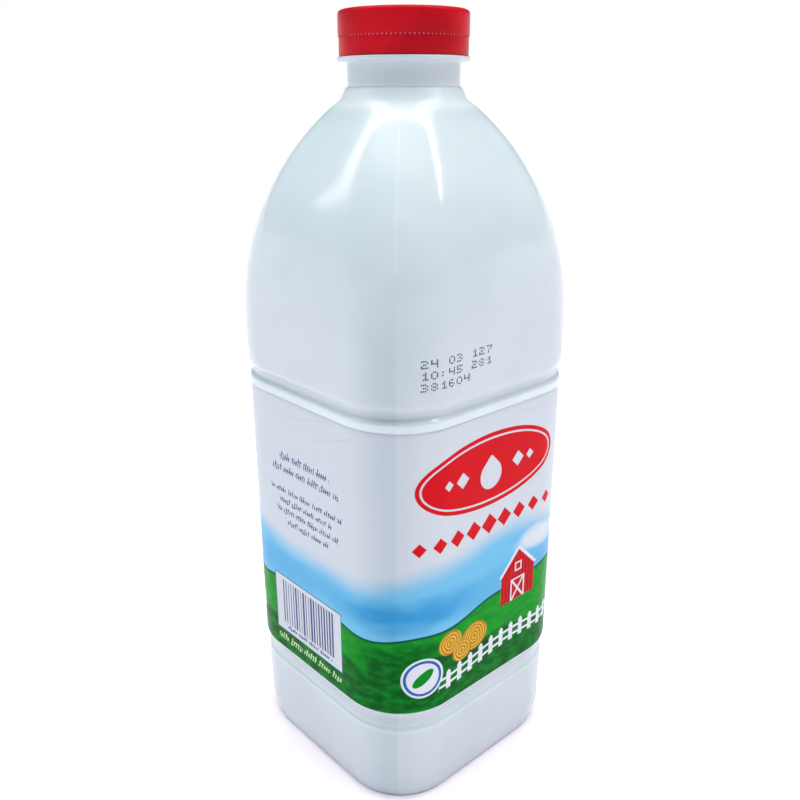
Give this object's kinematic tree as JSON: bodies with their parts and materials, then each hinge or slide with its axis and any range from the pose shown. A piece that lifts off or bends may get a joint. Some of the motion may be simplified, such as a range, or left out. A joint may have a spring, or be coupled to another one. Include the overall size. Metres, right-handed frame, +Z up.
{
  "type": "square plastic milk bottle with screw cap",
  "caption": "Shut square white plastic milk bottle with a domed shoulder, a wrap label in a recessed panel and a red screw cap.",
  "frame": {"origin": "middle of the base, on the surface that the bottle stands on", "axes": "+Z up the bottle through its cap; the flat sides are square to X and Y, and the label's main side faces -Y"},
  "size_m": [0.0904, 0.0904, 0.2552],
  "materials": {
    "white_bottle": "smooth opaque white blow-moulded polyethylene, gently glossy",
    "label_film": "thin printed wrap label of satin plastic film",
    "red_cap": "smooth red injection-moulded plastic, satin"
  },
  "bodies": {
    "root": {"bottle_body": "white_bottle", "wrap_label": "label_film", "screw_cap": "red_cap"}
  },
  "joints": []
}
